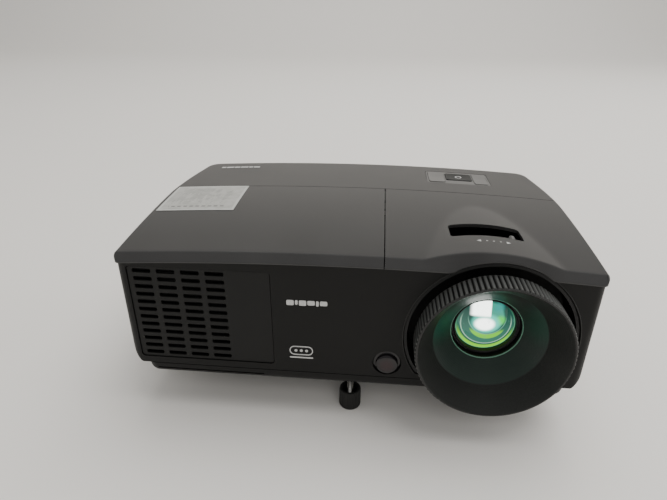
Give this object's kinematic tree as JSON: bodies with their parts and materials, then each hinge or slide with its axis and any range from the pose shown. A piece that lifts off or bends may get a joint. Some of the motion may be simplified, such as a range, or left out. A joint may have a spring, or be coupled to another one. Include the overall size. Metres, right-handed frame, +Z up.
{
  "type": "home projector",
  "caption": "Compact desktop projector: low black casing with a raised arch over a large ribbed focus ring, a slotted grille at the front, a zoom slot and keys on top, and screw feet.",
  "frame": {"origin": "on the table, under the middle of the object's box", "axes": "+X to the right seen from the front, +Y to the back, +Z up; the lens looks towards -Y"},
  "size_m": [0.288, 0.19, 0.1271],
  "materials": {
    "shell_grey": "fine-grained satin moulding of the top covers",
    "shell_black": "fine-grained satin moulding of the lower casing and the front",
    "ring_black": "satin moulding of the focus and zoom rings",
    "inner_black": "dull black inner plastic and anodised barrel",
    "key_grey": "satin key plate and keys",
    "mark_silver": null,
    "foil_label": "silver label film",
    "glass": "coated optical glass with a green-cyan cast",
    "ir_red": "near-black infrared window",
    "steel": "bright plated steel",
    "rubber": "ribbed black rubber",
    "aluminium": "cast and extruded aluminium",
    "board_green": "circuit board with green solder mask",
    "lamp_ceramic": "ceramic",
    "mirror": "mirror coating",
    "socket_blue": "blue connector insulator"
  },
  "bodies": {
    "casing": {"ac_inlet": "inner_black", "av_jacks": "inner_black", "bottom_case": "shell_black", "colour_wheel_motor": "steel", "dmd_board": "board_green", "dmd_chip": "lamp_ceramic", "dmd_heatsink": "aluminium", "engine_housing": "aluminium", "engine_lid": "aluminium", "exhaust_fan_frame": "inner_black", "exhaust_grille": "shell_black", "front_badge": "mark_silver", "front_bezel": "shell_black", "front_emblem": "mark_silver", "hdmi_socket": "steel", "intake_fan_frame": "inner_black", "ir_board": "board_green", "ir_window": "ir_red", "keypad_board": "board_green", "keypad_plate": "key_grey", "lamp_ballast_board": "board_green", "lamp_door": "shell_grey", "lamp_housing": "shell_black", "lamp_label": "foil_label", "lamp_reflector": "mirror", "lamp_window": "glass", "left_grille": "shell_black", "lens_barrel": "inner_black", "lens_cover": "shell_grey", "lens_flange": "aluminium", "lens_shroud": "inner_black", "light_tunnel": "mirror", "main_board": "board_green", "power_board": "board_green", "rear_cover": "shell_grey", "rear_panel": "shell_black", "right_grille": "shell_black", "serial_socket": "steel", "speaker": "inner_black", "top_badge": "mark_silver", "usb_socket": "steel", "vga_socket": "socket_blue"},
    "focus_ring": {"focus_ring": "ring_black"},
    "front_lens_cell": {"front_lens_cell": "inner_black", "front_lens": "glass"},
    "zoom_ring": {"zoom_ring": "ring_black"},
    "zoom_lens_group": {"zoom_lens_group": "glass"},
    "power_key": {"power_key": "key_grey"},
    "left_key": {"left_key": "key_grey"},
    "right_key": {"right_key": "key_grey"},
    "exhaust_fan_rotor": {"exhaust_fan_rotor": "inner_black"},
    "intake_fan_rotor": {"intake_fan_rotor": "inner_black"},
    "colour_wheel": {"colour_wheel": "glass"},
    "front_foot_screw": {"front_foot_screw": "steel"},
    "front_foot_knob": {"front_foot_knob": "rubber"},
    "rear_left_foot_screw": {"rear_left_foot_screw": "steel"},
    "rear_left_foot_knob": {"rear_left_foot_knob": "rubber"},
    "rear_right_foot_screw": {"rear_right_foot_screw": "steel"},
    "rear_right_foot_knob": {"rear_right_foot_knob": "rubber"}
  },
  "joints": [
    {"name": "focus_turn", "type": "hinge", "parent": "casing", "child": "focus_ring", "pos_m": [0.084, -0.095, 0.0703], "axis": [0, 1, 0], "range_deg": [-40, 40]},
    {"name": "focus_travel", "type": "slide", "parent": "casing", "child": "front_lens_cell", "axis": [0, 1, 0], "range_m": [-0.0015, 0.0015]},
    {"name": "zoom_turn", "type": "hinge", "parent": "casing", "child": "zoom_ring", "pos_m": [0.084, -0.0435, 0.0703], "axis": [0, 1, 0], "range_deg": [-36, 2]},
    {"name": "zoom_travel", "type": "slide", "parent": "casing", "child": "zoom_lens_group", "axis": [0, 1, 0], "range_m": [-0.0066, 0.001]},
    {"name": "power_key_press", "type": "slide", "parent": "casing", "child": "power_key", "axis": [0, 0, -1], "range_m": [0, 0.0008], "stiffness_N_per_m": 400, "springref_m": -0.0006},
    {"name": "left_key_press", "type": "slide", "parent": "casing", "child": "left_key", "axis": [0, 0, -1], "range_m": [0, 0.0008], "stiffness_N_per_m": 400, "springref_m": -0.0006},
    {"name": "right_key_press", "type": "slide", "parent": "casing", "child": "right_key", "axis": [0, 0, -1], "range_m": [0, 0.0008], "stiffness_N_per_m": 400, "springref_m": -0.0006},
    {"name": "front_foot_extend", "type": "slide", "parent": "casing", "child": "front_foot_screw", "axis": [0, 0, -1], "range_m": [-0.013, 0.002]},
    {"name": "front_foot_turn", "type": "hinge", "parent": "front_foot_screw", "child": "front_foot_knob", "pos_m": [0, -0.0647, 0], "axis": [0, 0, -1], "range_deg": [-6737, 1080]},
    {"name": "rear_left_foot_extend", "type": "slide", "parent": "casing", "child": "rear_left_foot_screw", "axis": [0, 0, -1], "range_m": [-0.013, 0.002]},
    {"name": "rear_left_foot_turn", "type": "hinge", "parent": "rear_left_foot_screw", "child": "rear_left_foot_knob", "pos_m": [-0.112, 0.074, 0], "axis": [0, 0, -1], "range_deg": [-6737, 1080]},
    {"name": "rear_right_foot_extend", "type": "slide", "parent": "casing", "child": "rear_right_foot_screw", "axis": [0, 0, -1], "range_m": [-0.013, 0.002]},
    {"name": "rear_right_foot_turn", "type": "hinge", "parent": "rear_right_foot_screw", "child": "rear_right_foot_knob", "pos_m": [0.112, 0.074, 0], "axis": [0, 0, -1], "range_deg": [-6737, 1080]},
    {"name": "exhaust_fan_spin", "type": "hinge", "parent": "casing", "child": "exhaust_fan_rotor", "pos_m": [-0.088, -0.063, 0.073], "axis": [0, 1, 0], "continuous": true},
    {"name": "intake_fan_spin", "type": "hinge", "parent": "casing", "child": "intake_fan_rotor", "pos_m": [0.125, 0.0515, 0.072], "axis": [1, 0, 0], "continuous": true},
    {"name": "colour_wheel_spin", "type": "hinge", "parent": "casing", "child": "colour_wheel", "pos_m": [-0.054, -0.002, 0.068], "axis": [1, 0, 0], "continuous": true}
  ],
  "couplings": [
    {"joint": "focus_travel", "follows": "focus_turn", "m_per_rad": 0.002},
    {"joint": "zoom_travel", "follows": "zoom_turn", "m_per_rad": 0.0105},
    {"joint": "front_foot_turn", "follows": "front_foot_extend", "rad_per_m": 8976},
    {"joint": "rear_left_foot_turn", "follows": "rear_left_foot_extend", "rad_per_m": 8976},
    {"joint": "rear_right_foot_turn", "follows": "rear_right_foot_extend", "rad_per_m": 8976}
  ]
}
